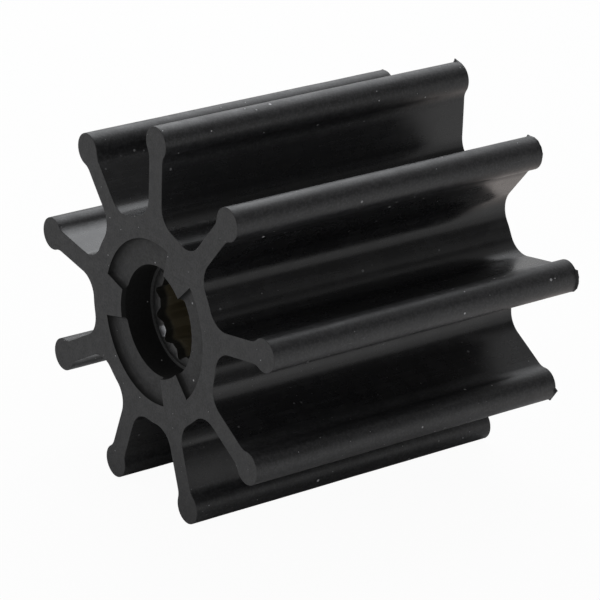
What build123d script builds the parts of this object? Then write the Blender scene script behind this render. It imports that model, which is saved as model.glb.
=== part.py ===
from build123d import *
import os
from math import cos, radians, sin, tan

# Rubber impeller of a flexible vane pump, lying on two of its vanes.
# Millimetres. The shaft axis is Y, the front face looks along -Y, +Z is up,
# and the origin is on the axis, halfway between the two end faces.
# Angles in the end faces are seen from the front, from +X towards +Z.

# Vanes: straight webs that end in round beads
vane_count = 9
first_vane_angle = 90.0
tip_diameter = 95.0
impeller_length = 87.0
bead_diameter = 8.0
vane_thickness = 5.2
neck_fillet = 3.6
root_fillet = 5.8

# Rubber hub
hub_diameter = 50.0
recess_width = 6.4
recess_depth = 1.5
recess_foot_fillet = 1.3
tab_count = 3
tab_width_angle = 31.0
tab_lead_angle = 9.0

# Splines through the insert
spline_count = 12
first_groove_angle = 20.0
spline_diameter = 24.2
spline_height = 1.4
groove_floor_width = 0.8
groove_flank_angle = 42.0
tooth_corner_fillet = 0.4
end_land_width = 0.3
lead_in_angle = 18.0

# Insert, moulded into the hub, and the rubber lip round each of its ends
insert_setback = 8.8
insert_wall = 4.4
insert_edge_chamfer = 1.0
key_count = 3
key_width = 4.0
key_depth = 1.2
lip_clearance = 0.4
lip_width = 0.8
lip_height = 0.6

# Flash on the rear edge of the beads, trimmed by hand. By vane from the first, the
# corners of its outline: an angle from the bead's outermost point, and a height on it
flash_thickness = 0.5
flash_corners = {
    0: ((27, 0), (20, 0.80), (-15, 0.08), (-22, 0)),
    1: ((31, 0), (24, 0.35), (-24, 0.15), (-31, 0)),
    2: ((33, 0), (26, 0.50), (-22, 0.20), (-29, 0)),
    3: ((29, 0), (22, 0.40), (-26, 0.16), (-33, 0)),
    6: ((34, 0), (27, 0.85), (-27, 0.38), (-34, 0)),
    7: ((32, 0), (25, 0.78), (5, 0.62), (-15, 0.56), (-35, 0.50), (-55, 0.30), (-70, 0)),
    8: ((66, 0), (62, 0.40), (52, 0.14), (30, 0.20), (10, 0.30), (-15, 0.27), (-38, 0.22), (-55, 0)),
}

# Parts of a size that only keep one shape clear of the next
root_fillet_share = 0.98
groove_cut_share = 0.9

# Worked out from the sizes above
half_length = impeller_length / 2
hub_radius = hub_diameter / 2
bead_radius = bead_diameter / 2
bead_centre_radius = tip_diameter / 2 - bead_radius
vane_pitch = 360 / vane_count
half_pitch_sine = sin(radians(vane_pitch / 2))
root_room = (hub_radius * half_pitch_sine - vane_thickness / 2) / (1 - half_pitch_sine)
neck_reach = bead_centre_radius - (bead_radius**2 - (vane_thickness / 2) ** 2) ** 0.5
neck_radius = (neck_reach**2 + (vane_thickness / 2) ** 2) ** 0.5
groove_radius = spline_diameter / 2
tooth_radius = groove_radius - spline_height
lip_radius = groove_radius + lip_clearance
bore_radius = lip_radius + lip_width
recess_radius = bore_radius + recess_width
lead_in_radius = lip_radius - end_land_width
first_tab_angle = first_vane_angle - vane_pitch + tab_lead_angle
insert_radius = groove_radius + insert_wall
insert_half_length = half_length - insert_setback
lip_half_length = insert_half_length + lip_height
lead_in_depth = (lead_in_radius - tooth_radius) * tan(radians(lead_in_angle))
key_pitch = 2 * insert_half_length / (key_count + 1)

front_face = Plane.XZ.offset(half_length)
rear_face = Plane.XZ.offset(-half_length)
insert_face = Plane.XZ.offset(insert_half_length)
lengthways = Plane.XY
near = 0.01


def polar(radius, angle):
    """Point of an end face at this radius and angle."""
    return (radius * cos(radians(angle)), radius * sin(radians(angle)))


def corners_at(sketch, radius):
    """Corners of a sketch that lie on this circle."""
    return sketch.vertices().filter_by(lambda corner: abs(Vector(corner).length - radius) < near)


# Section of the hub and the vanes, the same from end to end
with BuildSketch() as vane_section:
    Circle(hub_radius)
    with PolarLocations(0, vane_count, start_angle=first_vane_angle):
        Rectangle(bead_centre_radius, vane_thickness, align=(Align.MIN, Align.CENTER))
    fillet(corners_at(vane_section, hub_radius), min(root_fillet, root_fillet_share * root_room))
    with PolarLocations(bead_centre_radius, vane_count, start_angle=first_vane_angle):
        Circle(bead_radius)
    fillet(corners_at(vane_section, neck_radius), neck_fillet)

# Shallow ring round the bore in each end of the hub, broken by flat tabs
with BuildSketch() as recess_section:
    Circle(recess_radius)
    Circle(bore_radius, mode=Mode.SUBTRACT)
    with PolarLocations(0, tab_count, start_angle=first_tab_angle):
        Polygon(
            (0, 0),
            polar(2 * recess_radius, -tab_width_angle / 2),
            polar(2 * recess_radius, tab_width_angle / 2),
            align=None,
            mode=Mode.SUBTRACT,
        )

# Outside of the insert: a turned bush with grooves that key it into the rubber
with BuildPart() as insert_blank:
    with BuildSketch(insert_face):
        Circle(insert_radius)
    extrude(amount=-2 * insert_half_length)
    chamfer(insert_blank.edges().filter_by(GeomType.CIRCLE), insert_edge_chamfer)
    with BuildSketch(lengthways):
        with Locations((insert_radius, 0)):
            with GridLocations(0, key_pitch, 1, key_count):
                Rectangle(2 * key_depth, key_width)
    revolve(axis=Axis.Y, mode=Mode.SUBTRACT)

# Rubber body: hub, vanes, beads and flash are one moulding
with BuildPart() as rubber_body:
    with BuildSketch(front_face):
        add(vane_section.sketch)
    extrude(amount=-impeller_length)

    for face_plane, into_hub in ((front_face, -recess_depth), (rear_face, recess_depth)):
        with BuildSketch(face_plane):
            add(recess_section.sketch)
        extrude(amount=into_hub, mode=Mode.SUBTRACT)
    wall_feet = rubber_body.edges().filter_by(
        lambda edge: abs(abs(edge.center().Y) - (half_length - recess_depth)) < near
        and Vector(edge.center().X, edge.center().Z).length > bore_radius + near
    )
    fillet(wall_feet, recess_foot_fillet)

    # Plain bore down to the lip, and a narrower one through the lip to the insert
    with BuildSketch(lengthways):
        Rectangle(lip_radius, impeller_length, align=(Align.MIN, Align.CENTER))
        mouth_length = half_length - lip_half_length
        for end in (-1, 1):
            with Locations((0, end * (lip_half_length + mouth_length / 2))):
                Rectangle(bore_radius, mouth_length, align=(Align.MIN, Align.CENTER))
    revolve(axis=Axis.Y, mode=Mode.SUBTRACT)
    add(insert_blank.part, mode=Mode.SUBTRACT)

    for vane, corners in flash_corners.items():
        vane_angle = first_vane_angle + vane * vane_pitch
        bead_x, bead_z = polar(bead_centre_radius, vane_angle)
        outline = [polar(bead_radius + height, angle) for angle, height in corners]
        with BuildSketch(rear_face):
            with Locations(Location((bead_x, bead_z, 0), (0, 0, vane_angle))):
                Polygon((0, 0), *outline, align=None)
        extrude(amount=flash_thickness)

# Insert: splined from end to end, with a flat land and a shallow turned lead-in at each end
with BuildPart() as splined_insert:
    add(insert_blank.part)
    with BuildSketch(insert_face) as spline_section:
        Circle(tooth_radius)
        flank_start = groove_cut_share * tooth_radius
        flank_rise = (groove_radius - flank_start) * tan(radians(groove_flank_angle))
        with PolarLocations(0, spline_count, start_angle=first_groove_angle):
            Polygon(
                (flank_start, -groove_floor_width / 2 - flank_rise),
                (groove_radius, -groove_floor_width / 2),
                (groove_radius, groove_floor_width / 2),
                (flank_start, groove_floor_width / 2 + flank_rise),
                align=None,
            )
        fillet(corners_at(spline_section, tooth_radius), tooth_corner_fillet)
    extrude(amount=-2 * insert_half_length, mode=Mode.SUBTRACT)
    with BuildSketch(lengthways):
        for end in (-1, 1):
            Polygon(
                (0, end * insert_half_length),
                (lead_in_radius, end * insert_half_length),
                (tooth_radius, end * (insert_half_length - lead_in_depth)),
                (0, end * (insert_half_length - lead_in_depth)),
                align=None,
            )
    revolve(axis=Axis.Y, mode=Mode.SUBTRACT)

rubber_body.part.label = "rubber_body"
splined_insert.part.label = "splined_insert"

os.makedirs("parts", exist_ok=True)
export_step(rubber_body.part, "parts/rubber_body.step")
export_step(splined_insert.part, "parts/splined_insert.step")
for piece in (rubber_body.part, splined_insert.part):
    size = piece.bounding_box().size
    print(piece.label, f"{piece.volume / 1000:.1f} cm3", f"{size.X:.2f} x {size.Y:.2f} x {size.Z:.2f} mm")
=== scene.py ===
# %% [markdown]
# # A rubber pump impeller
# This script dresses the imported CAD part: a nine-vane rubber impeller with a splined
# metal insert moulded into its hub. The CAD part fixes every size and place. The cells
# below model the same two pieces again with finer edges, give them a rubber and a metal
# finish, and light them as on a white studio table.

import random
from math import acos, asin, atan2, cos, hypot, pi, radians, sin, sqrt, tan

import bmesh
import bpy
from mathutils import Matrix, Vector


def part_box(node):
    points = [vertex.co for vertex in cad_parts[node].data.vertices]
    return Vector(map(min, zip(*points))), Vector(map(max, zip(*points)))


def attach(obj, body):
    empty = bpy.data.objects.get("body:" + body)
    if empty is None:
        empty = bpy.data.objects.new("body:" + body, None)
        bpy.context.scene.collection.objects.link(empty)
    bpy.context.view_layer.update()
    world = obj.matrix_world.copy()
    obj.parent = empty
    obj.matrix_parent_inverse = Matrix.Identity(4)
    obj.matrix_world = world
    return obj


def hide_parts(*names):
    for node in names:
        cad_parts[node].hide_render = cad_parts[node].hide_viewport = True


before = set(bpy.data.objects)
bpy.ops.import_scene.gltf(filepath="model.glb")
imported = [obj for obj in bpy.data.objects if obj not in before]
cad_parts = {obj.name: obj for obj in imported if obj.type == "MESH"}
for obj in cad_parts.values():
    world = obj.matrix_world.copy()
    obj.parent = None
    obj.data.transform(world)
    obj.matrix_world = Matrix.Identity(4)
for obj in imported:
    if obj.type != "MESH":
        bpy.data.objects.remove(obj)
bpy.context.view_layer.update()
body_low, body_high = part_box("rubber_body")
insert_low, insert_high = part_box("splined_insert")
print(len(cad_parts), "nodes to dress")
print("rubber body from", [round(v, 4) for v in body_low], "to", [round(v, 4) for v in body_high])
print("insert from", [round(v, 4) for v in insert_low], "to", [round(v, 4) for v in insert_high])

# %% [markdown]
# ## Sizes
# The length of the body and of the insert are read from the frame, so the new pieces
# always fill the CAD ones. The section of the vanes and the bore are the mould's own
# sizes. They are named here once, in metres, and the shaft axis is Y.

# %% Driving sizes
mm = 0.001
half_length = body_high.y
insert_half_length = insert_high.y

vane_count = 9
vane_pitch = 2 * pi / vane_count
tip_radius = 47.5 * mm
bead_radius = 4 * mm
web_half = 2.6 * mm
neck_fillet = 3.6 * mm
root_fillet = 5.8 * mm
hub_radius = 25 * mm
bead_centre = tip_radius - bead_radius

groove_radius = 12.1 * mm
tooth_radius = 10.7 * mm
lip_radius = 12.5 * mm
bore_radius = 13.3 * mm
lead_in_radius = 12.2 * mm
recess_radius = 19.7 * mm
recess_depth = 1.5 * mm
recess_foot_fillet = 1.3 * mm
lip_height = 0.6 * mm
tab_count = 3
tab_half_angle = radians(15.5)
first_tab_angle = radians(59)
print(f"half length {half_length / mm:.1f} mm, insert half length {insert_half_length / mm:.1f} mm")

# %% [markdown]
# ## Selecting and measuring in code
# Blender's mesh tools work on what is selected. With a window a modeller clicks, and in
# a script a small test does the clicking: it is asked for every point, edge or face,
# and what it says yes to is selected.

# %% Helpers for edit mode


def start(name):
    """The object that a primitive has just made, renamed and open in edit mode."""
    piece = bpy.context.active_object
    piece.name = name
    piece.data.name = name
    bpy.ops.object.mode_set(mode="EDIT")
    bpy.ops.mesh.select_mode(type="VERT")
    return piece


def pick(piece, kind, wanted):
    """Selects the verts, edges or faces of the open mesh that the test says yes to."""
    bpy.ops.mesh.select_all(action="DESELECT")
    bpy.ops.mesh.select_mode(type={"verts": "VERT", "edges": "EDGE", "faces": "FACE"}[kind])
    mesh = bmesh.from_edit_mesh(piece.data)
    picked = [element for element in getattr(mesh, kind) if wanted(element)]
    for element in picked:
        element.select_set(True)
    mesh.select_flush_mode()
    bmesh.update_edit_mesh(piece.data)
    return len(picked)


def finish_piece(piece):
    """Closes edit mode and prints how large the mesh has become."""
    bpy.ops.object.mode_set(mode="OBJECT")
    print(piece.name, len(piece.data.vertices), "points,", len(piece.data.polygons), "faces")
    return piece


# %% Helpers for the whole mesh, and measures


def merge_doubles(distance):
    """Merges the points of the open mesh that lie closer together than this."""
    bpy.ops.mesh.select_all(action="SELECT")
    bpy.ops.mesh.remove_doubles(threshold=distance)


def face_outwards():
    """Turns the faces of the open mesh to the outside."""
    bpy.ops.mesh.select_all(action="SELECT")
    bpy.ops.mesh.normals_make_consistent(inside=False)


def middle(element):
    """Middle of an edge."""
    return (element.verts[0].co + element.verts[1].co) / 2


def off_axis(point):
    """Distance of a point from the shaft axis."""
    return hypot(point.x, point.z)


near = 0.02 * mm
same_angle = 1e-4
print("points closer than", near / mm, "mm count as one")

# %% [markdown]
# ## Drawing an outline with spin and extrude
# A moulding like this has one section from end to end, and that section is all arcs and
# straight runs that meet smoothly. It could be typed in as a list of points, but then no
# arc would keep its radius when a size changes. So it is drawn as a draughtsman would:
# one point travels along the outline, the spin tool draws each arc behind it, and extrude
# draws each straight run.

# %% The travelling point


def first_point(name, x, y, z):
    """A mesh with one point, which the outline grows from."""
    bpy.ops.object.select_all(action="DESELECT")
    bpy.ops.mesh.primitive_plane_add(size=mm)
    piece = start(name)
    bpy.ops.mesh.merge(type="CENTER")
    bpy.ops.transform.translate(value=(x, y, z))
    return piece


def arc(angle, steps, centre_x=0.0, centre_z=0.0):
    """Spins what is selected about a line along Y. A positive angle goes from +X to +Z."""
    bpy.ops.mesh.spin(steps=steps, angle=angle, center=(centre_x, 0, centre_z), axis=(0, 1, 0))


def run(x, y, z, steps=1):
    """Extrudes what is selected by this much, in equal steps."""
    step = (x / steps, y / steps, z / steps)
    for _ in range(steps):
        bpy.ops.mesh.extrude_region_move(TRANSFORM_OT_translate={"value": step})


def copies_round_axis(count):
    """Copies the whole open mesh round the shaft axis and merges where copies meet."""
    bpy.ops.mesh.select_all(action="SELECT")
    bpy.ops.mesh.spin(steps=count, dupli=True, angle=2 * pi, center=(0, 0, 0), axis=(0, 1, 0))
    merge_doubles(near)


# %% [markdown]
# ## The vane section
# Each vane is a straight web that ends in a round bead. A small fillet joins web and
# bead, and a larger one joins web and hub, so the rubber can bend without tearing. Boxes
# and cylinders could be merged into this shape, but their fillets would then be hard to
# bevel evenly. So the outline of one vane is drawn from the middle of one trough to the
# middle of the next, and eight more copies are spun round the axis. On the outer side of
# the bead, where flash will stand, the outline has a point every three degrees.

# %% One vane, then nine
hub_steps, root_steps, web_steps, neck_steps, bead_side_steps = 2, 14, 6, 7, 12
flash_zone = radians(72)
flash_column = radians(3)

neck_x = web_half + neck_fillet
neck_turn = acos(neck_x / (bead_radius + neck_fillet))
neck_z = bead_centre - (bead_radius + neck_fillet) * sin(neck_turn)
root_x = web_half + root_fillet
root_turn = acos(root_x / (hub_radius + root_fillet))
root_z = (hub_radius + root_fillet) * sin(root_turn)
hub_arc = vane_pitch / 2 - (pi / 2 - root_turn)
bead_side = pi / 2 + neck_turn - flash_zone

trough_middle = pi / 2 - vane_pitch / 2
rubber = first_point(
    "rubber_moulding", hub_radius * cos(trough_middle), -half_length, hub_radius * sin(trough_middle)
)
arc(hub_arc, hub_steps)
arc(-root_turn, root_steps, root_x, root_z)
run(0, 0, neck_z - root_z, web_steps)
arc(-neck_turn, neck_steps, neck_x, neck_z)
arc(bead_side, bead_side_steps, 0, bead_centre)
arc(2 * flash_zone, round(2 * flash_zone / flash_column), 0, bead_centre)
arc(bead_side, bead_side_steps, 0, bead_centre)
arc(-neck_turn, neck_steps, -neck_x, neck_z)
run(0, 0, root_z - neck_z, web_steps)
arc(-root_turn, root_steps, -root_x, root_z)
arc(hub_arc, hub_steps)
copies_round_axis(vane_count)
print("web", round(2 * web_half / mm, 2), "mm thick")
finish_piece(rubber)

# %% [markdown]
# ## The end face, the recess and its three tabs
# A shallow ring is sunk into the end of the hub round the bore, and three flat tabs
# break it. The inner edge of the end face is therefore one line that runs out to the
# rim of the recess and in again along each tab. A third of it is drawn and copied
# twice. Three short lines across the hub then divide the end face into three pieces,
# because one Blender face can't have a hole in it.

# %% The inner edge of the end face
rim_steps_before_tab, tab_steps, rim_steps_after_tab = 18, 12, 12
recess_start = trough_middle + vane_pitch
tab_pitch = 2 * pi / tab_count
tab_middle = first_tab_angle + tab_pitch
inner = first_point(
    "inner_edge", recess_radius * cos(recess_start), -half_length, recess_radius * sin(recess_start)
)


def run_outwards(angle, distance):
    """Extrudes what is selected along a radius of the end face."""
    run(distance * cos(angle), 0, distance * sin(angle))


arc(tab_middle - tab_half_angle - recess_start, rim_steps_before_tab)
run_outwards(tab_middle - tab_half_angle, bore_radius - recess_radius)
arc(2 * tab_half_angle, tab_steps)
run_outwards(tab_middle + tab_half_angle, recess_radius - bore_radius)
arc(recess_start + tab_pitch - tab_middle - tab_half_angle, rim_steps_after_tab)
copies_round_axis(tab_count)
finish_piece(inner)

# %% Join the two lines and fill between them
bpy.ops.object.select_all(action="DESELECT")
inner.select_set(True)
rubber.select_set(True)
bpy.context.view_layer.objects.active = rubber
bpy.ops.object.join()
bpy.ops.object.mode_set(mode="EDIT")


def face_angle(point):
    """Angle of a point in the end faces, from +X towards +Z."""
    return atan2(point.z, point.x) % (2 * pi)


def turned(angle, reference):
    """How far an angle is past a reference, from minus to plus half a turn."""
    return (angle - reference + pi) % (2 * pi) - pi


for third in range(tab_count):
    seam = recess_start + third * tab_pitch

    def crosses_hub(vert):
        on_seam = abs(turned(face_angle(vert.co), seam)) < same_angle
        return on_seam and off_axis(vert.co) < hub_radius + near

    pick(rubber, "verts", crosses_hub)
    bpy.ops.mesh.edge_face_add()
half_of_third = tab_pitch / 2 + same_angle
for third in range(tab_count):
    centre = recess_start + (third + 0.5) * tab_pitch
    pick(rubber, "edges", lambda edge: abs(turned(face_angle(middle(edge)), centre)) < half_of_third)
    bpy.ops.mesh.edge_face_add()
print("end face in", len(bmesh.from_edit_mesh(rubber.data).faces), "pieces")

# %% [markdown]
# ## The flanks
# The outline is now extruded along the shaft, in rings close enough together for the
# long flanks to take the slight unevenness of real rubber later. Only the front half is
# made, because the other half is its mirror image.

# %% The front half of the flanks
flash_thickness = 0.5 * mm
flank_rings = 15


def at_y(point, y):
    """Is this point at this place along the shaft?"""
    return abs(point.y - y) < near


pick(rubber, "edges", lambda edge: min(off_axis(v.co) for v in edge.verts) > hub_radius - near)
run(0, flash_thickness, 0)
run(0, half_length - flash_thickness, 0, steps=flank_rings)
print("faces so far", len(bmesh.from_edit_mesh(rubber.data).faces))

# %% [markdown]
# ## The recess walls
# The wall of the recess and the sides of the tabs have a large fillet at their foot. The
# inner edge first goes straight back. Then the walls of the three pockets are extruded
# ring by ring, and each ring is moved into its pocket by a step of a quarter circle. A
# point on the bore stays on the bore, and a point on the outer wall slides along it, so
# the pockets keep clean corners.

# %% The quarter round at the foot of a wall
fillet_rings = 7
recess_floor = -half_length + recess_depth
pocket_half_angle = tab_pitch / 2 - tab_half_angle
pocket_middles = [first_tab_angle + (k + 0.5) * tab_pitch for k in range(tab_count)]


def inset_at(y):
    """How far a wall has come in at this place, by the fillet at its foot."""
    to_fillet_centre = recess_foot_fillet - (recess_floor - y)
    return recess_foot_fillet - sqrt(recess_foot_fillet**2 - to_fillet_centre**2)


def half_angle_at(y, radius):
    """Half the angle of a pocket at this place, between the fillets of its two sides."""
    return pocket_half_angle - asin(inset_at(y) / radius)


def move_into_pocket(vert, y_before, y):
    """Moves a point of a pocket's wall from where one ring has it to where the next does."""
    on_bore = abs(off_axis(vert.co) - bore_radius) < near
    radius_before = bore_radius if on_bore else recess_radius - inset_at(y_before)
    radius = bore_radius if on_bore else recess_radius - inset_at(y)
    angle = face_angle(vert.co)
    pocket_middle = min(pocket_middles, key=lambda middle_angle: abs(turned(angle, middle_angle)))
    share = turned(angle, pocket_middle) / half_angle_at(y_before, radius_before)
    angle = pocket_middle + share * half_angle_at(y, radius)
    vert.co.x, vert.co.z = radius * cos(angle), radius * sin(angle)


# %% Extrude the walls ring by ring
pick(
    rubber,
    "edges",
    lambda edge: edge.is_boundary and max(off_axis(v.co) for v in edge.verts) < recess_radius + near,
)
run(0, recess_depth - recess_foot_fillet, 0)
pick(
    rubber,
    "edges",
    lambda edge: edge.is_boundary and bore_radius + near < off_axis(middle(edge)) < recess_radius + near,
)
wall_y = recess_floor - recess_foot_fillet
for ring in range(1, fillet_rings + 1):
    next_y = recess_floor - recess_foot_fillet * (1 - sin(pi / 2 * ring / fillet_rings))
    run(0, next_y - wall_y, 0)
    for vert in [v for v in bmesh.from_edit_mesh(rubber.data).verts if v.select]:
        move_into_pocket(vert, wall_y, next_y)
    bmesh.update_edit_mesh(rubber.data)
    wall_y = next_y
print("fillet of", round(recess_foot_fillet / mm, 1), "mm in", fillet_rings, "rings")

# %% [markdown]
# The floor of each pocket is one face. Its edge along the bore is still missing, so the
# corner point at one end of it is spun round the axis to the other end.

# %% The pocket floors
floor_steps = 28
floor_half_angle = half_angle_at(recess_floor, bore_radius)
floor_starts = [angle - floor_half_angle for angle in pocket_middles]
pick(
    rubber,
    "verts",
    lambda vert: at_y(vert.co, recess_floor)
    and abs(off_axis(vert.co) - bore_radius) < near
    and any(abs(turned(face_angle(vert.co), angle)) < same_angle for angle in floor_starts),
)
arc(2 * floor_half_angle, floor_steps)
merge_doubles(near)
for pocket_middle in pocket_middles:
    pick(
        rubber,
        "edges",
        lambda edge: all(at_y(v.co, recess_floor) for v in edge.verts)
        and abs(turned(face_angle(middle(edge)), pocket_middle)) < pocket_half_angle,
    )
    bpy.ops.mesh.edge_face_add()
print("faces so far", len(bmesh.from_edit_mesh(rubber.data).faces))
finish_piece(rubber)

# %% [markdown]
# ## The bore, the lip and the seat of the insert
# Inside the hub the rubber holds the metal insert: a plain bore, a narrow lip that
# covers the edge of the metal, and a seat with three ribs that fill the insert's
# grooves, so that it can't turn or slide. The edge of the bore rises and falls where the
# tabs are, so it is extruded once and flattened into a level ring. All the rest is round
# and goes from ring to ring, extruded and scaled along a short path of radii.

# %% The path of radii into the hub
insert_wall = 4.4 * mm
seat_radius = groove_radius + insert_wall
seat_chamfer = 1 * mm
rib_height = 1.2 * mm
rib_radius = seat_radius - rib_height
rib_half = 2 * mm
rib_pitch = insert_half_length / 2
lip_top = -insert_half_length - lip_height

seat_path = [
    (seat_radius - seat_chamfer, -insert_half_length),
    (seat_radius, -insert_half_length + seat_chamfer),
    (seat_radius, -rib_pitch - rib_half),
    (rib_radius, -rib_pitch - rib_half),
    (rib_radius, -rib_pitch + rib_half),
    (seat_radius, -rib_pitch + rib_half),
    (seat_radius, -rib_half),
    (rib_radius, -rib_half),
    (rib_radius, 0),
]
bore_path = [(bore_radius, lip_top), (lip_radius, lip_top), (lip_radius, -insert_half_length)] + seat_path
print("seat", round(2 * seat_radius / mm, 1), "mm across")

# %% From the recess floor to the middle of the hub


def rings(radius, y, path):
    """Extrudes the selected ring, now at this radius and place, through a path of others."""
    for next_radius, next_y in path:
        run(0, next_y - y, 0)
        scale = next_radius / radius
        bpy.ops.transform.resize(value=(scale, 1, scale), center_override=(0, 0, 0))
        radius, y = next_radius, next_y


first_level = recess_floor + recess_depth
bpy.ops.object.mode_set(mode="EDIT")
pick(
    rubber,
    "edges",
    lambda edge: edge.is_boundary and all(abs(off_axis(v.co) - bore_radius) < near for v in edge.verts),
)
run(0, first_level - recess_floor, 0)
bpy.ops.transform.resize(value=(1, 0, 1), center_override=(0, first_level, 0))
rings(bore_radius, first_level, bore_path)
print("bore", round(2 * bore_radius / mm, 1), "mm, lip", round(2 * lip_radius / mm, 1), "mm across")

# %% [markdown]
# ## Rounded edges
# No moulded or trimmed edge is a perfect corner. The small rounding is what catches the
# light along every edge, so each group of edges is beveled by its own amount: the
# outline a little, and the rims of the recess, the tabs and the lip even less.

# %% Bevel the edges
outline_round = 0.15 * mm
rim_round = 0.06 * mm
lip_round = 0.10 * mm
sharp_from = radians(50)


def bevel(width, segments):
    """Rounds the selected edges."""
    bpy.ops.mesh.bevel(offset=width, segments=segments, affect="EDGES", clamp_overlap=False)


def is_corner(edge):
    """Do the two faces of this edge meet at a sharp corner?"""
    return len(edge.link_faces) == 2 and edge.calc_face_angle() > sharp_from


face_outwards()
pick(
    rubber,
    "edges",
    lambda edge: is_corner(edge)
    and max(off_axis(v.co) for v in edge.verts) < recess_radius + near
    and all(at_y(v.co, -half_length) for v in edge.verts),
)
bevel(rim_round, 2)
pick(
    rubber,
    "edges",
    lambda edge: is_corner(edge)
    and at_y(middle(edge), -half_length)
    and min(off_axis(v.co) for v in edge.verts) > hub_radius - near,
)
bevel(outline_round, 2)
pick(
    rubber,
    "edges",
    lambda edge: all(at_y(v.co, lip_top) and abs(off_axis(v.co) - lip_radius) < near for v in edge.verts),
)
bevel(lip_round, 3)
print("faces with rounded edges", len(bmesh.from_edit_mesh(rubber.data).faces))

# %% [markdown]
# ## Mirror, and the flash of the mould
# The rear half is a mirror image. Where the two halves of the mould met, at the rear
# end of the beads, a thin sliver of rubber was squeezed out and then trimmed with a
# straight cut. Each vane has a different one, and the two vanes it stands on have none.

# %% The rear half


def add_rear_half(piece):
    """Mirrors a front half to the rear, and merges the two where they meet."""
    mirror = piece.modifiers.new("other_half", "MIRROR")
    mirror.use_axis = (False, True, False)
    mirror.merge_threshold = near
    bpy.ops.object.modifier_apply(modifier=mirror.name)


finish_piece(rubber)
add_rear_half(rubber)
print("both halves have", len(rubber.data.polygons), "faces")

# %% [markdown]
# A sliver could be a thin plate pushed into the bead, but it would cross the bead's faces,
# and light would show the seam. So it grows out of the bead. For each vane its outline is
# a short list of corners: an angle, from the outermost point of the bead, and a height
# above the bead. The faces under it are extruded in place, and each new point is moved out
# along its own radius to the straight line between the two corners beside it. The cut is
# a little ragged.

# %% The outline of the flash
flash_corners = {
    0: ((27, 0), (20, 0.80), (-15, 0.08), (-22, 0)),
    1: ((31, 0), (24, 0.35), (-24, 0.15), (-31, 0)),
    2: ((33, 0), (26, 0.50), (-22, 0.20), (-29, 0)),
    3: ((29, 0), (22, 0.40), (-26, 0.16), (-33, 0)),
    6: ((34, 0), (27, 0.85), (-27, 0.38), (-34, 0)),
    7: ((32, 0), (25, 0.78), (5, 0.62), (-15, 0.56), (-35, 0.50), (-55, 0.30), (-70, 0)),
    8: ((66, 0), (62, 0.40), (52, 0.14), (30, 0.20), (10, 0.30), (-15, 0.27), (-38, 0.22), (-55, 0)),
}
flash_tip_thickness = 0.22 * mm
trim_roughness = 0.06 * mm
rim_margin = 0.2 * outline_round


def in_bead(point, vane_angle):
    """Distance and angle of a point from a bead's centre, from its outward direction."""
    x = point.x - bead_centre * cos(vane_angle)
    z = point.z - bead_centre * sin(vane_angle)
    return hypot(x, z), turned(atan2(z, x), vane_angle)


def flash_reach(angle, corners):
    """How far the flash's outline is from the bead's centre at this angle."""
    for (angle_a, height_a), (angle_b, height_b) in zip(corners, corners[1:]):
        if radians(angle_b) <= angle <= radians(angle_a):
            reach_a, reach_b = bead_radius + height_a * mm, bead_radius + height_b * mm
            area = reach_a * reach_b * sin(radians(angle_b - angle_a))
            return area / (reach_b * sin(radians(angle_b) - angle) - reach_a * sin(radians(angle_a) - angle))
    return bead_radius


print("flash on", len(flash_corners), "of", vane_count, "beads")

# %% The flash
random.seed(5)
bpy.ops.object.mode_set(mode="EDIT")
face_outwards()
for vane, corners in flash_corners.items():
    vane_angle = pi / 2 + vane * vane_pitch
    high, low = radians(corners[0][0]), radians(corners[-1][0])
    peaks = [radians(angle) for angle, height in corners if height > 0]

    def is_under_flash(face):
        centre = face.calc_center_median()
        distance, angle = in_bead(centre, vane_angle)
        edge_ring = half_length - flash_thickness < centre.y < half_length - rim_margin
        return edge_ring and abs(distance - bead_radius) < outline_round / 2 and low < angle < high

    pick(rubber, "faces", is_under_flash)
    run(0, 0, 0)
    mesh = bmesh.from_edit_mesh(rubber.data)
    ragged = {}
    for vert in [v for v in mesh.verts if v.select]:
        distance, angle = in_bead(vert.co, vane_angle)
        column = round(angle / flash_column)
        height = flash_reach(angle, corners) - bead_radius
        if height < near:
            continue
        angle = next((peak for peak in peaks if abs(peak - angle) < flash_column / 2), angle)
        reach = flash_reach(angle, corners)
        reach -= ragged.setdefault(column, random.random()) * min(trim_roughness, height / 2)
        vert.co.x = bead_centre * cos(vane_angle) + reach * cos(vane_angle + angle)
        vert.co.z = bead_centre * sin(vane_angle) + reach * sin(vane_angle + angle)
        if vert.co.y < half_length - outline_round - near:
            vert.co.y = half_length - flash_tip_thickness - outline_round / 2
    bmesh.update_edit_mesh(rubber.data)
merge_doubles(near / 4)
face_outwards()
finish_piece(rubber)

# %% [markdown]
# ## The splined insert
# A turned metal bush is moulded into the hub, and twelve teeth are broached along its
# bore for the pump's shaft. The teeth could be cut with a boolean, but a tooth's corner is
# rounded and its ends are sloped, and both are easier to draw. One tooth space is drawn
# as the vane was: across the groove floor, up the flank, round the tooth's corner and
# along the tooth's top. Inside a narrow flat land, each end has a shallow turned cone that
# leads the shaft in. So the outline is lowered by how far each of its points is from the
# land, and the teeth get their sloped ends.

# %% Sizes of a tooth space
flank_steps, corner_steps, tooth_top_steps = 3, 5, 6
spline_count = 12
spline_pitch = 2 * pi / spline_count
first_groove_angle = radians(20)
groove_floor_half = 0.4 * mm
flank_angle = radians(42)
corner_fillet = 0.4 * mm
lead_in_angle = radians(18)

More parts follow.
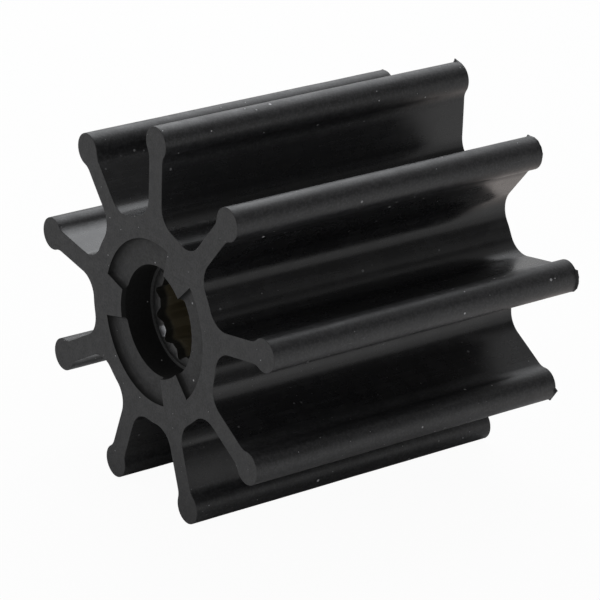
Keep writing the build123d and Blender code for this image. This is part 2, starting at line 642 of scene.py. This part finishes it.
flank_down, flank_across = -cos(flank_angle), sin(flank_angle)
corner_radius = tooth_radius + corner_fillet
start_out = groove_radius + corner_fillet * flank_across
start_side = groove_floor_half - corner_fillet * flank_down
half_sum = start_out * flank_down + start_side * flank_across
flank_length = -half_sum - sqrt(half_sum**2 - start_out**2 - start_side**2 + corner_radius**2)
corner_out = start_out + flank_length * flank_down
corner_side = start_side + flank_length * flank_across
corner_angle = atan2(corner_side, corner_out)
corner_turn = pi / 2 - flank_angle - corner_angle
print("straight flank", round(flank_length / mm, 2), "mm long")

# %% Draw one tooth space, then twelve


def in_groove(out, side, angle):
    """Place in the end face of a point given from a groove's middle line."""
    return out * cos(angle) - side * sin(angle), out * sin(angle) + side * cos(angle)


def run_in_groove(out, side, angle, steps=1):
    """Extrudes by a distance given along and across a groove's middle line."""
    x, z = in_groove(out, side, angle)
    run(x, 0, z, steps)


this_groove = first_groove_angle
next_groove = first_groove_angle + spline_pitch
x, z = in_groove(groove_radius, 0, this_groove)
insert = first_point("bush_with_splines", x, -insert_half_length, z)
run_in_groove(0, groove_floor_half, this_groove)
run_in_groove(flank_length * flank_down, flank_length * flank_across, this_groove, flank_steps)
x, z = in_groove(corner_out, corner_side, this_groove)
arc(-corner_turn, corner_steps, x, z)
arc(spline_pitch - 2 * corner_angle, tooth_top_steps)
x, z = in_groove(corner_out, -corner_side, next_groove)
arc(-corner_turn, corner_steps, x, z)
run_in_groove(-flank_length * flank_down, flank_length * flank_across, next_groove, flank_steps)
run_in_groove(0, groove_floor_half, next_groove)
copies_round_axis(spline_count)
print("teeth", spline_count, "each with its top at", round(tooth_radius / mm, 1), "mm from the axis")
finish_piece(insert)

# %% [markdown]
# ## From the outline to the bush
# The outline goes along the shaft to the middle of the bush, and forwards and outwards
# from there over the cone to the end face. The outside of the bush follows the very
# same path of radii as the seat in the rubber, so the two touch all over.

# %% Teeth, cone and outside
spline_rings = 6
tooth_edge_round = 0.06 * mm


def lower_onto_cone(vert):
    """Moves a point along the shaft onto the lead-in cone."""
    vert.co.y = -insert_half_length + (lead_in_radius - off_axis(vert.co)) * tan(lead_in_angle)


bpy.ops.object.mode_set(mode="EDIT")
for vert in bmesh.from_edit_mesh(insert.data).verts:
    lower_onto_cone(vert)
bpy.ops.mesh.select_all(action="SELECT")
run(0, half_length, 0)
bpy.ops.transform.resize(value=(1, 0, 1), center_override=(0, 0, 0))
pick(insert, "edges", lambda edge: abs(edge.verts[0].co.y - edge.verts[1].co.y) > insert_half_length / 2)
bpy.ops.mesh.subdivide(number_cuts=spline_rings)

pick(insert, "edges", lambda edge: edge.is_boundary and middle(edge).y < -insert_half_length / 2)
run(0, 0, 0)
for vert in [v for v in bmesh.from_edit_mesh(insert.data).verts if v.select]:
    stretch = lead_in_radius / off_axis(vert.co)
    vert.co = Vector((vert.co.x * stretch, -insert_half_length, vert.co.z * stretch))
bmesh.update_edit_mesh(insert.data)
rings(lead_in_radius, -insert_half_length, [(lip_radius, -insert_half_length)] + seat_path)

face_outwards()
pick(
    insert,
    "edges",
    lambda edge: is_corner(edge) and max(off_axis(v.co) for v in edge.verts) < groove_radius + near,
)
bevel(tooth_edge_round, 2)
finish_piece(insert)
add_rear_half(insert)
bpy.ops.object.mode_set(mode="EDIT")
face_outwards()
finish_piece(insert)

# %% [markdown]
# ## Slight unevenness
# A long rubber flank is never dead flat. Seen along its length, its highlight wavers a
# little. A bump in the finish could bend the light, but not the edges, so the mesh itself
# is moved: a cloud texture pushes the points in by up to a tenth of a millimetre, and
# never out, so that the piece stays inside the CAD part. After that the normals are
# weighted by face size, which keeps the big flat faces flat and leaves the whole turn
# to the small rounded edges between them.

# %% Unevenness and shading
flank_unevenness = 0.08 * mm
flank_wave = 11 * mm
only_inwards = 1.1
smooth_up_to = radians(60)


def shade(piece):
    """Shades a piece smooth across its small edges and flat across its big faces."""
    bpy.ops.object.select_all(action="DESELECT")
    piece.select_set(True)
    bpy.context.view_layer.objects.active = piece
    bpy.ops.object.shade_smooth_by_angle(angle=smooth_up_to)
    weighted = piece.modifiers.new("flat_faces_stay_flat", "WEIGHTED_NORMAL")
    weighted.keep_sharp = True
    bpy.ops.object.modifier_apply(modifier=weighted.name)


waves = bpy.data.textures.new("flank_waves", "CLOUDS")
waves.noise_scale = flank_wave
waves.noise_depth = 1
uneven = rubber.modifiers.new("unevenness", "DISPLACE")
uneven.texture = waves
uneven.mid_level = only_inwards
uneven.strength = flank_unevenness
bpy.context.view_layer.objects.active = rubber
bpy.ops.object.modifier_apply(modifier=uneven.name)
shade(rubber)
shade(insert)
print("flanks uneven by up to", round(flank_unevenness * only_inwards / mm, 2), "mm")

# %% [markdown]
# ## Finishes
# The flanks and beads came off a polished mould, so they are nearly black with a satin
# shine. The end faces were ground flat and are a dull charcoal. The bush is a yellowish
# metal, dulled by handling. One flat colour each would look like a drawing, so noises say
# where a finish is paler, duller or dusty. What the finishes share, such as dust specks
# and fine lines, is built once as a node group and used with other values.

# %% Helpers for nodes and groups


def new_group(name, inputs, output):
    """A node group with these float or vector inputs and one float output."""
    group = bpy.data.node_groups.new(name, "ShaderNodeTree")
    for label, value in inputs.items():
        kind = "NodeSocketVector" if value is None else "NodeSocketFloat"
        socket = group.interface.new_socket(name=label, in_out="INPUT", socket_type=kind)
        if value is not None:
            socket.default_value = value
    group.interface.new_socket(name=output, in_out="OUTPUT", socket_type="NodeSocketFloat")
    return group, group.nodes.new("NodeGroupInput"), group.nodes.new("NodeGroupOutput")


def add(tree, kind, values=None, **settings):
    """Adds a node, sets its properties and the values of its unlinked inputs."""
    node = tree.nodes.new(kind)
    for key, value in settings.items():
        setattr(node, key, value)
    for key, value in (values or {}).items():
        node.inputs[key].default_value = value
    return node


# %% Helpers for sums, products and ranges


def maths(tree, operation, first, second=0.0, clamp=False):
    """A Math node whose two inputs are sockets or plain numbers, as its output socket."""
    node = add(tree, "ShaderNodeMath", operation=operation, use_clamp=clamp)
    for place, source in enumerate((first, second)):
        if isinstance(source, bpy.types.NodeSocket):
            tree.links.new(source, node.inputs[place])
        else:
            node.inputs[place].default_value = source
    return node.outputs[0]


def plus(tree, first, second, clamp=False):
    """The sum of two sockets or numbers."""
    return maths(tree, "ADD", first, second, clamp)


def times(tree, first, second):
    """The product of two sockets or numbers."""
    return maths(tree, "MULTIPLY", first, second)


def between(tree, value, low, high, to_low=0.0, to_high=1.0):
    """A value carried from one range to another, smoothly at both ends."""
    ranges = {1: low, 2: high, 3: to_low, 4: to_high}
    node = add(tree, "ShaderNodeMapRange", ranges, interpolation_type="SMOOTHSTEP")
    tree.links.new(value, node.inputs[0])
    return node.outputs[0]


# %% [markdown]
# ### Dust specks
# A few pale grains of dust lie on the real part. Each could be a tiny mesh, but there are
# hundreds. Voronoi cells are lighter: they give each place in space a nearest point, and
# only the cells whose random value is low hold a speck. Noise bends the cells, so that no
# speck is a perfect dot.

# %% The speck group
bend_reach = 0.16 * mm
smallest_speck = 0.35
solid_core = 0.6
faintest_speck = 0.2

speck_inputs = {"Vector": None, "Spacing": 2.0, "Share": 0.05, "Size": 0.1}
specks, specks_in, specks_out = new_group("dust_specks", speck_inputs, "Mask")
bend = add(specks, "ShaderNodeTexNoise", {"Scale": 6 / mm, "Detail": 2.0})
specks.links.new(specks_in.outputs["Vector"], bend.inputs["Vector"])
bent = add(specks, "ShaderNodeVectorMath", operation="MULTIPLY_ADD")
specks.links.new(bend.outputs["Color"], bent.inputs[0])
bent.inputs[1].default_value = (bend_reach, bend_reach, bend_reach)
specks.links.new(specks_in.outputs["Vector"], bent.inputs[2])
cells = add(specks, "ShaderNodeTexVoronoi", feature="F1")
specks.links.new(bent.outputs[0], cells.inputs["Vector"])
specks.links.new(maths(specks, "DIVIDE", 1 / mm, specks_in.outputs["Spacing"]), cells.inputs["Scale"])
chance = add(specks, "ShaderNodeSeparateColor")
specks.links.new(cells.outputs["Color"], chance.inputs[0])
chosen = maths(specks, "LESS_THAN", chance.outputs[0], specks_in.outputs["Share"])
reach = times(specks, specks_in.outputs["Size"], plus(specks, chance.outputs[1], smallest_speck))
reach = maths(specks, "DIVIDE", reach, specks_in.outputs["Spacing"])
from_centre = maths(specks, "DIVIDE", cells.outputs["Distance"], reach)
inside = between(specks, from_centre, solid_core, 1.0, 1.0, 0.0)
strength = plus(specks, times(specks, chance.outputs[2], 1 - faintest_speck), faintest_speck)
inside = times(specks, inside, strength)
specks.links.new(times(specks, inside, chosen), specks_out.inputs["Mask"])
print("group", specks.name, "with", len(specks.nodes), "nodes")

# %% [markdown]
# ### Drawn streaks
# Rubber that leaves a long mould, and metal that a broach has been pulled through, both
# carry fine lines along the shaft. A wave texture would give even stripes. Noise squeezed
# across the shaft and stretched along it gives lines that start and end anywhere.

# %% The streak group
streak_inputs = {"Vector": None, "Width": 0.5, "Stretch": 40.0}
streaks, streaks_in, streaks_out = new_group("drawn_streaks", streak_inputs, "Value")
per_metre = maths(streaks, "DIVIDE", 1 / mm, streaks_in.outputs["Width"])
along = maths(streaks, "DIVIDE", per_metre, streaks_in.outputs["Stretch"])
squeeze = add(streaks, "ShaderNodeCombineXYZ")
streaks.links.new(per_metre, squeeze.inputs["X"])
streaks.links.new(along, squeeze.inputs["Y"])
streaks.links.new(per_metre, squeeze.inputs["Z"])
scaled = add(streaks, "ShaderNodeVectorMath", operation="MULTIPLY")
streaks.links.new(streaks_in.outputs["Vector"], scaled.inputs[0])
streaks.links.new(squeeze.outputs[0], scaled.inputs[1])
lines = add(streaks, "ShaderNodeTexNoise", {"Scale": 1.0, "Detail": 3.0, "Roughness": 0.6})
streaks.links.new(scaled.outputs[0], lines.inputs["Vector"])
streaks.links.new(lines.outputs["Fac"], streaks_out.inputs["Value"])
print("group", streaks.name, "with", len(streaks.nodes), "nodes")

# %% [markdown]
# ### Groups, noises and places in a material
# Every finish starts from Object coordinates, which stay with the piece from whatever
# side it is seen. A group or a noise is placed in it with a size in millimetres. Two
# distances, along the shaft and from its axis, say on which part of the piece a point is.

# %% A material and what is placed in it


def new_material(name):
    """A material with its Principled shader and its Object coordinates."""
    material = bpy.data.materials.new(name)
    material.use_nodes = True
    tree = material.node_tree
    place = add(tree, "ShaderNodeTexCoord").outputs["Object"]
    return material, tree, tree.nodes["Principled BSDF"], place


def placed(tree, group, place, **values):
    """A group node in a material, with its own values, as its output socket."""
    node = add(tree, "ShaderNodeGroup", node_tree=group)
    tree.links.new(place, node.inputs["Vector"])
    for label, value in values.items():
        node.inputs[label].default_value = value
    return node.outputs[0]


def noise(tree, place, size, detail=2.0, roughness=0.5):
    """Noise whose lumps are about this many millimetres across."""
    values = {"Scale": 1000.0 / size, "Detail": detail, "Roughness": roughness}
    node = add(tree, "ShaderNodeTexNoise", values)
    tree.links.new(place, node.inputs["Vector"])
    return node.outputs["Fac"]


def blend_colours(tree, share, first, second):
    """Mixes two colours, each a socket or three plain numbers, by a share."""
    node = add(tree, "ShaderNodeMix", data_type="RGBA")
    tree.links.new(share, node.inputs["Factor"])
    for socket, source in ((node.inputs[6], first), (node.inputs[7], second)):
        if isinstance(source, bpy.types.NodeSocket):
            tree.links.new(source, socket)
        else:
            socket.default_value = (*source, 1.0)
    return node.outputs[2]


# %% Distances, dust and bumps


def along_shaft(tree, place):
    """Distance from the middle of the part along the shaft, in metres, at either end."""
    parts = add(tree, "ShaderNodeSeparateXYZ")
    tree.links.new(place, parts.inputs[0])
    return maths(tree, "ABSOLUTE", parts.outputs["Y"])


def off_shaft(tree, place):
    """Distance from the shaft axis, in metres."""
    flat = add(tree, "ShaderNodeVectorMath", {1: (1, 0, 1)}, operation="MULTIPLY")
    tree.links.new(place, flat.inputs[0])
    radius = add(tree, "ShaderNodeVectorMath", operation="LENGTH")
    tree.links.new(flat.outputs[0], radius.inputs[0])
    return radius.outputs["Value"]


def dust(tree, place, fine, coarse):
    """Fine and coarse specks together, by the share of the cells that hold one."""
    small = placed(tree, specks, place, Spacing=1.7, Share=fine, Size=0.16)
    large = placed(tree, specks, place, Spacing=4.0, Share=coarse, Size=0.34)
    return maths(tree, "MAXIMUM", small, large)


def bump(tree, shader, height, depth):
    """Feeds a height, for bumps this many millimetres deep, into the shader's normal."""
    node = add(tree, "ShaderNodeBump", {"Strength": 1.0, "Distance": depth * mm})
    tree.links.new(height, node.inputs["Height"])
    tree.links.new(node.outputs["Normal"], shader.inputs["Normal"])


# %% [markdown]
# ### Moulded rubber
# Webs, troughs and beads share one finish. Two close blacks are mixed by a broad noise.
# Over them lies a faint pale bloom, which is what rubber sweats out with age, in patches
# drawn out along the shaft.

# %% The black and its bloom
rubber_ior = 1.5
deep_black, soft_black = (0.0086, 0.0086, 0.0094), (0.0136, 0.0136, 0.0145)
bloom_grey = (0.0205, 0.0205, 0.0218)

moulded, tree, shader, place = new_material("moulded_rubber")
colour = blend_colours(tree, noise(tree, place, 9.0), deep_black, soft_black)
drawn = placed(tree, streaks, place, Width=0.8, Stretch=45.0)
patches = noise(tree, place, 3.5, 4.0, 0.65)
bloom = between(tree, times(tree, plus(tree, patches, drawn), 0.5), 0.46, 0.68)
colour = blend_colours(tree, bloom, colour, bloom_grey)
print("black rubber and bloom in", len(tree.nodes), "nodes")

# %% [markdown]
# The beads are what hands and the bench touch. They have a mottle and a fine grain in
# paler greys, scuffs along their length, and most of the dust. A second material could
# be given to their faces, but its edge would show where bead and web run into one
# another. So one finish covers both, and a mask that fades in over the neck brings in
# what belongs to the beads.

# %% What the beads have
mottle_grey, grain_grey = (0.029, 0.029, 0.0308), (0.037, 0.037, 0.0395)
scuff_grey, lint_white = (0.090, 0.090, 0.096), (0.75, 0.75, 0.77)
neck_start, neck_end = bead_centre - 1.6 * bead_radius, bead_centre - bead_radius
dust_on_webs = 0.2

on_bead = between(tree, off_shaft(tree, place), neck_start, neck_end)
mottle = times(tree, between(tree, noise(tree, place, 1.4, 4.0, 0.75), 0.48, 0.68), on_bead)
colour = blend_colours(tree, mottle, colour, mottle_grey)
grain = between(tree, noise(tree, place, 0.6, 3.0, 0.7), 0.46, 0.62, to_high=0.8)
colour = blend_colours(tree, times(tree, grain, on_bead), colour, grain_grey)
scratches = between(tree, placed(tree, streaks, place, Width=0.22, Stretch=9.0), 0.62, 0.72)
scuffed = between(tree, noise(tree, place, 8.0), 0.52, 0.66)
scuffs = times(tree, scratches, times(tree, scuffed, on_bead))
colour = blend_colours(tree, scuffs, colour, scuff_grey)
dusty = plus(tree, times(tree, on_bead, 1 - dust_on_webs), dust_on_webs)
lint = times(tree, dust(tree, place, 0.35, 0.80), dusty)
colour = blend_colours(tree, lint, colour, lint_white)
tree.links.new(colour, shader.inputs["Base Color"])
print("colour of the moulded rubber in", len(tree.nodes), "nodes")

# %% [markdown]
# A clean web is the shiniest. Each mask above makes the rubber duller by its own amount,
# the most where dust lies. The relief is only a few thousandths of a millimetre deep: a
# fine grain on the beads, and the drawn lines everywhere.

# %% Shine and relief
web_roughness = 0.24
drawn_relief = 0.25

handled = between(tree, noise(tree, place, 5.0, 3.0), 0.35, 0.7)
satin = plus(tree, times(tree, on_bead, 0.15), web_roughness)
for mask, duller in ((handled, 0.06), (mottle, 0.08), (bloom, 0.05), (lint, 0.4)):
    satin = plus(tree, satin, times(tree, mask, duller), clamp=True)
tree.links.new(satin, shader.inputs["Roughness"])
shader.inputs["IOR"].default_value = rubber_ior
relief = times(tree, noise(tree, place, 0.35, 3.0), on_bead)
relief = plus(tree, relief, times(tree, drawn, drawn_relief))
bump(tree, shader, relief, 0.004)
print("moulded rubber in", len(tree.nodes), "nodes")

# %% [markdown]
# ### Matt rubber
# The ends and the inside of the hub share one matt rubber in four shades. The ends were
# ground and are the palest. The recess is a little darker, and painted shade darkens its
# walls and their fillets, and its floor towards the outer wall. The lip is smooth, and the
# bore nearly black, with painted light that makes it paler near its mouth. One function
# makes all four, from two shades of grey, the depth of the grain, the painted shade or light
# on the walls, and how much the rubber shines.

# %% Matt rubber for the ends, the recess and the bore


def matt_rubber(name, dark, pale, grain_depth, painted_wall_shading=1.0, shine=0.5):
    """A matt rubber between two greys. Its walls get the darker grey scaled: below 1 paints shade, above 1
    paints light.
    """
    material, tree, shader, place = new_material(name)
    clouds = noise(tree, place, 6.0, 3.0)
    colour = blend_colours(tree, clouds, (dark, dark, dark * 1.02), (pale, pale, pale * 1.02))
    mottle = between(tree, noise(tree, place, 0.55, 3.0, 0.7), 0.35, 0.65)
    colour = blend_colours(tree, mottle, (dark * 0.70, dark * 0.70, dark * 0.72), colour)
    # Painted shade in the recess and painted light in the bore: the walls above the recess floor get the
    # darker grey scaled by this factor.
    painted_wall_grey = (dark * painted_wall_shading, dark * painted_wall_shading, dark * painted_wall_shading)
    if painted_wall_shading != 1:
        floor_place = half_length - recess_depth
        wall_end = floor_place + recess_depth * 0.25
        walls = between(tree, along_shaft(tree, place), floor_place + near, wall_end)
        colour = blend_colours(tree, walls, colour, painted_wall_grey)
    # Painted shade: the recess floor and its fillets darken towards the outer wall, as a shaded corner
    # would.
    if painted_wall_shading < 1:
        corner = between(tree, off_shaft(tree, place), bore_radius + 3 * mm, recess_radius, 0.0, 0.6)
        colour = blend_colours(tree, corner, colour, painted_wall_grey)
    lint = dust(tree, place, 0.30, 0.60)
    colour = blend_colours(tree, lint, colour, (0.60, 0.60, 0.62))
    tree.links.new(colour, shader.inputs["Base Color"])
    dull = between(tree, noise(tree, place, 2.0), 0.3, 0.7, 0.66, 0.78)
    tree.links.new(dull, shader.inputs["Roughness"])
    shader.inputs["IOR"].default_value = rubber_ior
    shader.inputs["Specular IOR Level"].default_value = shine
    bump(tree, shader, noise(tree, place, 0.25, 4.0, 0.6), grain_depth)
    print(name, "in", len(tree.nodes), "nodes")
    return material


ground = matt_rubber("ground_rubber", 0.046, 0.056, 0.03, shine=0.35)
# The recess gets painted shade on its walls and fillets, and on its floor towards the outer wall.
recess_rubber = matt_rubber("recess_rubber", 0.032, 0.040, 0.015, painted_wall_shading=0.22, shine=0.35)
lip_rubber = matt_rubber("lip_rubber", 0.036, 0.050, 0.015)
# The bore gets painted light: its wall is paler near the mouth, beside the tabs.
bore_rubber = matt_rubber("bore_rubber", 0.0080, 0.0115, 0.015, painted_wall_shading=2.4, shine=0.3)

# %% [markdown]
# ### Bush metal
# The bush is bronze. Its bore is olive and dull, but for a strip of painted shade at each
# end, black and not metal, where little light reaches into the bore. A noise is added to
# the place where the strip ends, so that it ends in a ragged line.

# %% Bronze with a black strip of painted shade at each end
strip_start = insert_half_length - 3.1 * mm
dark_olive, pale_olive = (0.27, 0.24, 0.165), (0.38, 0.34, 0.245)

bush_metal, tree, shader, place = new_material("bush_metal")
drawn = placed(tree, streaks, place, Width=0.35, Stretch=80.0)
olive = blend_colours(tree, noise(tree, place, 3.0, 3.0), dark_olive, pale_olive)
ragged_place = plus(tree, along_shaft(tree, place), times(tree, noise(tree, place, 1.5), 0.6 * mm))
# Painted shade: a black, non-metallic strip just inside each end of the bore.
painted_end_shade = between(tree, ragged_place, strip_start - 0.4 * mm, strip_start + 1.5 * mm)
colour = blend_colours(tree, painted_end_shade, olive, (0.016, 0.016, 0.014))
tree.links.new(colour, shader.inputs["Base Color"])
tree.links.new(maths(tree, "SUBTRACT", 1.0, painted_end_shade), shader.inputs["Metallic"])
dull = plus(tree, times(tree, drawn, 0.20), 0.48)
tree.links.new(dull, shader.inputs["Roughness"])
bump(tree, shader, drawn, 0.01)
print("bush metal in", len(tree.nodes), "nodes")

# %% [markdown]
# The ends of the teeth are dark. On one tooth a patch of bare, paler metal shows. The
# patch is what lies near one place on the land, with its rim frayed by a noise in the same
# way.

# %% Dark tooth ends with a worn spot
worn_radius, worn_angle = 11.5 * mm, radians(219)
worn_spot = (worn_radius * cos(worn_angle), -insert_half_length, worn_radius * sin(worn_angle))
worn_from, worn_to = 1.7 * mm, 2.1 * mm
dark_metal, pale_metal = (0.20, 0.205, 0.215), (0.34, 0.345, 0.36)

dark_tooth_ends, tree, shader, place = new_material("dark_tooth_ends")
spot = add(tree, "ShaderNodeVectorMath", operation="DISTANCE")
tree.links.new(place, spot.inputs[0])
spot.inputs[1].default_value = worn_spot
frayed = plus(tree, spot.outputs["Value"], times(tree, noise(tree, place, 0.8, 3.0), 1.2 * mm))
worn = between(tree, frayed, worn_from, worn_to, 1.0, 0.0)
flecks = placed(tree, specks, place, Spacing=1.3, Share=0.08, Size=0.25)
bare = maths(tree, "MAXIMUM", worn, flecks)
dark_end_grey = blend_colours(tree, noise(tree, place, 1.0, 3.0), (0.017, 0.017, 0.018), (0.030, 0.030, 0.030))
metal = blend_colours(tree, noise(tree, place, 0.7, 3.0), dark_metal, pale_metal)
tree.links.new(blend_colours(tree, bare, dark_end_grey, metal), shader.inputs["Base Color"])
tree.links.new(bare, shader.inputs["Metallic"])
shader.inputs["Roughness"].default_value = 0.42
bump(tree, shader, noise(tree, place, 0.5, 3.0), 0.02)
print("tooth skin in", len(tree.nodes), "nodes")

# %% [markdown]
# ## Finishes on the pieces
# A finish goes to a face by where the face is. On the rubber, the faces that look along
# the shaft at the ends are ground, what is inside the rim of the recess has the finish of
# the recess or of the bore, and the rest came off the polished mould. On the bush, the
# land and the sloped ends of the teeth get the dark finish of the tooth ends.

# %% Dress the pieces and put them on the frame
slack = 0.2 * mm
end_face_normal, land_normal = 0.9, 0.5

for finish in (moulded, ground, recess_rubber, lip_rubber, bore_rubber):
    rubber.data.materials.append(finish)
for face in rubber.data.polygons:
    radius, place = off_axis(face.center), abs(face.center.y)
    if place < half_length - near and radius < bore_radius + slack:
        on_lip = place < -lip_top + slack
        face.material_index = 3 if on_lip else 4
    elif place < half_length - near and radius < recess_radius + slack:
        face.material_index = 2
    elif abs(face.normal.y) > end_face_normal and place > half_length - recess_depth:
        face.material_index = 1

for finish in (bush_metal, dark_tooth_ends):
    insert.data.materials.append(finish)
for face in insert.data.polygons:
    if abs(face.normal.y) > land_normal and off_axis(face.center) < lip_radius + near:
        face.material_index = 1

pieces = ((rubber, "rubber_body", "moulded_rubber"), (insert, "splined_insert", "insert_metal"))
for piece, node, slot in pieces:
    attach(piece, "root")
    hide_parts(node)
    for index, finish in enumerate(piece.data.materials):
        count = sum(face.material_index == index for face in piece.data.polygons)
        print(piece.name, count, "faces with", finish.name)

# %% [markdown]
# ## The studio
# The part stands on a white table that fills the picture. Most of what the camera sees of
# it is plain white, and the rest is paper, which keeps the part's soft shadow.
#
# Black rubber shows little of its own colour: what is seen on it is what it mirrors. So
# the table has its own look in gloss. It is dark close to the part, where the part shades
# it, and on its left. It clears to the right and beyond the two ends, and is brightest
# and a little warm past the rear end, where the lamp above falls on it.

# %% The floor
floor_size = 8.0
paper_roughness = 0.9
camera_white = 0.96
paper_grey, dim_grey = (0.86, 0.86, 0.86), (0.25, 0.25, 0.25)
plain_white, warm_white = (1.0, 1.0, 1.0), (1.0, 0.92, 0.88)
dim_middle, dim_core, dim_reach = -130 * mm, 60 * mm, 90 * mm
beside_start, beside_end = 30 * mm, 95 * mm
behind_start, behind_end = 40 * mm, 85 * mm
lit_place, lit_core, lit_reach = (-20 * mm, 130 * mm, 0), 50 * mm, 160 * mm
unlit_glow = 0.66

bpy.ops.object.select_all(action="DESELECT")
bpy.ops.mesh.primitive_plane_add(size=floor_size, location=(0, 0, body_low.z))
floor = bpy.context.active_object
floor.name = "floor"
paper, tree, shader, place = new_material("white_paper")
shader.inputs["Roughness"].default_value = paper_roughness
white = add(tree, "ShaderNodeEmission", {"Strength": 1.0})
path = add(tree, "ShaderNodeLightPath")
from_camera, from_gloss = path.outputs["Is Camera Ray"], path.outputs["Is Glossy Ray"]
parts = add(tree, "ShaderNodeSeparateXYZ")
tree.links.new(place, parts.inputs[0])

from_middle = maths(tree, "ABSOLUTE", maths(tree, "SUBTRACT", parts.outputs["X"], dim_middle))
dim = times(tree, between(tree, from_middle, dim_core, dim_reach, 1.0, 0.0), from_gloss)
tree.links.new(blend_colours(tree, dim, paper_grey, dim_grey), shader.inputs["Base Color"])

# %% What is white in the picture and in gloss
beside = between(tree, parts.outputs["X"], beside_start, beside_end)
behind = between(tree, maths(tree, "ABSOLUTE", parts.outputs["Y"]), behind_start, behind_end)
clear = plus(tree, beside, behind, clamp=True)
lit = add(tree, "ShaderNodeVectorMath", {1: lit_place}, operation="DISTANCE")
tree.links.new(place, lit.inputs[0])
far = between(tree, lit.outputs["Value"], lit_core, lit_reach)
glow = between(tree, lit.outputs["Value"], lit_core, lit_reach, 1.0, unlit_glow)
mirrored = times(tree, from_gloss, times(tree, clear, glow))
seen = maths(tree, "MAXIMUM", times(tree, from_camera, camera_white), mirrored)
plain = maths(tree, "MAXIMUM", far, from_camera)
tree.links.new(blend_colours(tree, plain, warm_white, plain_white), white.inputs["Color"])
mixed = add(tree, "ShaderNodeMixShader")
tree.links.new(seen, mixed.inputs[0])
tree.links.new(shader.outputs[0], mixed.inputs[1])
tree.links.new(white.outputs[0], mixed.inputs[2])
tree.links.new(mixed.outputs[0], tree.nodes["Material Output"].inputs["Surface"])
floor.data.materials.append(paper)
print("floor at", round(body_low.z / mm, 2), "mm, paper in", len(tree.nodes), "nodes")

# %% [markdown]
# A big soft lamp hangs above, to the left and behind, a little cool in colour, with its
# long side across the shaft. It draws the long pale bands along the beads. A second lamp
# fills the end face from the front. A sun or a small lamp would give hard highlights. A
# lamp's power has to grow with its area, so its strength is given as how bright it would
# look beside white paper.

# %% The lamps


def soft_lamp(name, direction, distance, width, height, radiance):
    """A lamp that looks at the part, its width across the shaft. Radiance 1 is white paper."""
    lamp = bpy.data.lights.new(name, "AREA")
    lamp.shape = "RECTANGLE"
    lamp.size, lamp.size_y = width, height
    lamp.energy = pi * width * height * radiance
    holder = bpy.data.objects.new(name, lamp)
    bpy.context.scene.collection.objects.link(holder)
    away = Vector(direction).normalized()
    across = Vector((0, 1, 0)).cross(away).normalized()
    holder.matrix_world = Matrix((across, away.cross(across), away)).transposed().to_4x4()
    holder.location = away * distance
    print(name, round(lamp.energy, 2), "W")
    return lamp


overhead = soft_lamp(
    "overhead_lamp", (-0.53, 0.355, 0.77), distance=0.55, width=0.60, height=0.40, radiance=2.2
)
overhead.color = (0.95, 0.97, 1.0)
soft_lamp("front_lamp", (-0.35, -0.90, 0.35), distance=1.0, width=0.7, height=0.7, radiance=1.0)

# %% [markdown]
# The world is a pale band at the height of the horizon, as a sweep of white paper would
# be, and slightly brighter on the left. Above the sweep is a dim ceiling, darker to the
# right. It gives the webs and troughs, which mirror it, their slow change from grey to
# black. The camera itself sees plain white.

# %% The world
horizon_left, horizon_right = 0.70, 0.60
ceiling_left, ceiling_right = 0.38, 0.075
sweep_end, ceiling_start = 0.24, 0.42

world = bpy.data.worlds.new("paper_sweep")
bpy.context.scene.world = world
world.use_nodes = True
tree = world.node_tree
towards = add(tree, "ShaderNodeSeparateXYZ")
tree.links.new(add(tree, "ShaderNodeTexCoord").outputs["Generated"], towards.inputs[0])
horizon = between(tree, towards.outputs["X"], -0.9, -0.2, horizon_left, horizon_right)
ceiling = between(tree, towards.outputs["X"], 0.17, 0.72, ceiling_left, ceiling_right)
rise = between(tree, towards.outputs["Z"], sweep_end, ceiling_start)
drop = times(tree, maths(tree, "SUBTRACT", ceiling, horizon), rise)
path = add(tree, "ShaderNodeLightPath")
level = maths(tree, "MAXIMUM", plus(tree, horizon, drop), path.outputs["Is Camera Ray"])
tree.links.new(level, tree.nodes["Background"].inputs["Strength"])
tree.nodes["Background"].inputs["Color"].default_value = (1, 1, 1, 1)
print("world in", len(tree.nodes), "nodes")

# %% [markdown]
# ## The camera
# The camera stands where the photograph was taken from, in front of the part and to its
# right, looking down a little through a long lens. Its place is given by the direction
# back to it, a small roll, its distance, and how far the aim is off the part's centre.

# %% The camera
azimuth, elevation, roll = radians(52.964), radians(22.605), radians(1.847)
camera_distance = 800.53 * mm
aim_right, aim_up = 1.434 * mm, 3.745 * mm
photo_width = 600
focal_pixels = 3397.1

back = Vector((sin(azimuth) * cos(elevation), -cos(azimuth) * cos(elevation), sin(elevation)))
level_right = Vector((cos(azimuth), sin(azimuth), 0))
level_up = back.cross(level_right)
view_right = level_right * cos(roll) + level_up * sin(roll)
view_up = level_up * cos(roll) - level_right * sin(roll)
lens = bpy.data.cameras.new("camera")
lens.lens = lens.sensor_width * focal_pixels / photo_width
camera = bpy.data.objects.new("camera", lens)
bpy.context.scene.collection.objects.link(camera)
camera.matrix_world = Matrix((view_right, view_up, back)).transposed().to_4x4()
camera.location = back * camera_distance - view_right * aim_right - view_up * aim_up
bpy.context.scene.camera = camera
bpy.context.scene.view_settings.view_transform = "Standard"
print("lens", round(lens.lens, 1), "mm")
